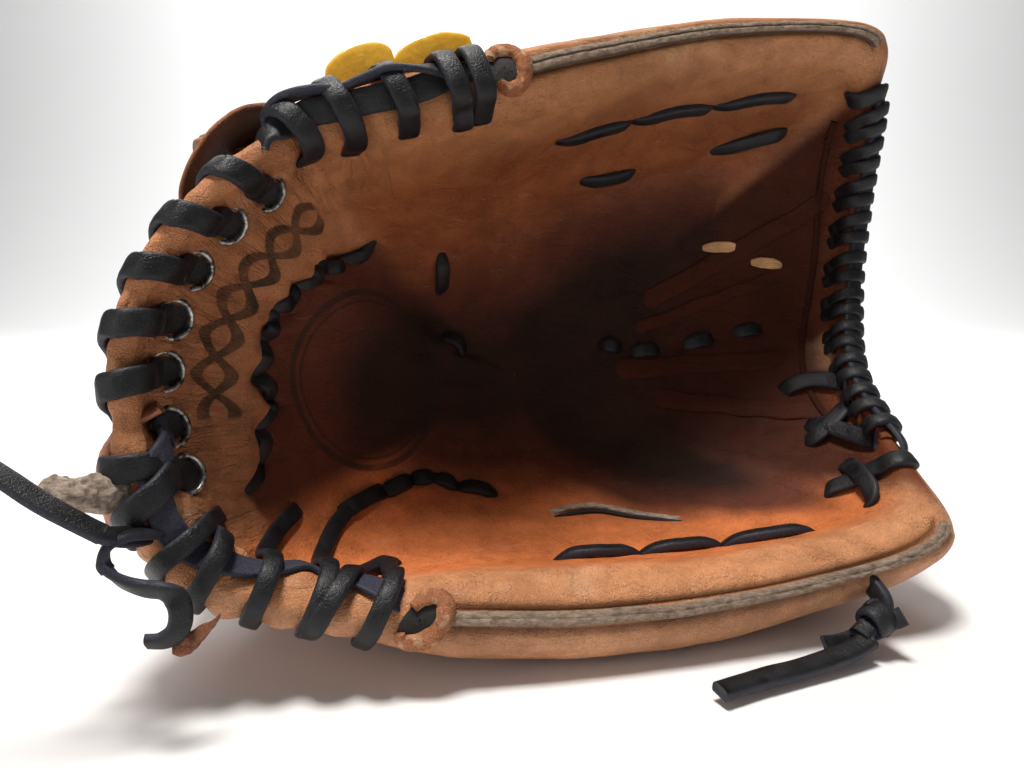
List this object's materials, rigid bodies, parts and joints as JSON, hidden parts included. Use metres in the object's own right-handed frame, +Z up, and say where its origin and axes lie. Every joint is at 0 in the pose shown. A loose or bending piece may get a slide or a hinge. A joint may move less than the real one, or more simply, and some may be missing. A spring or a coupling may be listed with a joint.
{
  "type": "baseball catchers mitt",
  "caption": "Padded leather baseball catcher's mitt, folded half shut, with laced heel, webbing and wrist strap; its finger side and thumb side fold about the palm.",
  "frame": {"origin": "on the surface the mitt lies on, under the middle of its bounding box without the free laces", "axes": "+X roughly from heel to fingertips, +Y from the open pocket towards the back of the hand, +Z up from the surface, towards the thumb side"},
  "size_m": [0.3008, 0.2116, 0.2156],
  "materials": {
    "leather": "satin",
    "pocket_leather": "satin",
    "felt": "matt",
    "rawhide": "matt",
    "lace": "satin",
    "eyelet": "polished",
    "badge": "gloss"
  },
  "bodies": {
    "finger_side": {"finger_palm_leather": "leather", "finger_pad": "felt", "finger_back_leather": "leather", "finger_welt": "rawhide", "finger_edge_lace": "lace", "finger_loop_1": "lace", "finger_loop_2": "lace", "finger_loop_3": "lace", "finger_rim_lace": "lace", "finger_tip_lace": "lace", "finger_rolled_end": "leather", "lace_knot": "lace", "tail_knot": "lace"},
    "palm": {"palm_leather": "pocket_leather", "palm_pad": "felt", "back_leather": "leather", "web_panel": "pocket_leather", "web_back_panel": "pocket_leather", "heel_binding": "leather", "heel_eyelet_1": "eyelet", "heel_eyelet_2": "eyelet", "heel_eyelet_3": "eyelet", "heel_eyelet_4": "eyelet", "heel_eyelet_5": "eyelet", "heel_eyelet_6": "eyelet", "heel_eyelet_7": "eyelet", "heel_lace_1": "lace", "heel_lace_2": "lace", "heel_lace_3": "lace", "heel_lace_4": "lace", "heel_lace_5": "lace", "heel_lace_6": "lace", "heel_lace_7": "lace", "web_binding": "pocket_leather", "web_edge_lace": "lace", "heel_scallop_lace": "lace", "palm_row_lace": "lace", "pocket_lace": "lace", "corner_loop_1": "lace", "corner_loop_2": "lace", "strap": "leather", "rawhide_stub": "rawhide", "strap_tab": "leather", "tail_long": "lace", "tail_loop": "lace"},
    "thumb_side": {"thumb_palm_leather": "leather", "thumb_pad": "felt", "thumb_back_leather": "leather", "thumb_welt": "rawhide", "thumb_edge_lace": "lace", "thumb_loop_1": "lace", "thumb_loop_2": "lace", "thumb_loop_3": "lace", "thumb_loop_4": "lace", "thumb_loop_5": "lace", "thumb_rim_lace": "lace", "thumb_join_lace": "lace", "thumb_tip_lace": "lace", "thumb_rolled_end": "leather", "badge": "badge"}
  },
  "joints": [
    {"name": "finger_fold", "type": "hinge", "parent": "finger_side", "child": "palm", "pos_m": [-0.09543, -0.07679, 0.0299], "axis": [0.8878, 0.452, 0.0867], "range_deg": [-8, 22], "stiffness_Nm_per_rad": 14},
    {"name": "thumb_fold", "type": "hinge", "parent": "palm", "child": "thumb_side", "pos_m": [-0.10164, -0.03991, 0.14775], "axis": [0.904, 0.4195, 0.0825], "range_deg": [-8, 22], "stiffness_Nm_per_rad": 8}
  ]
}
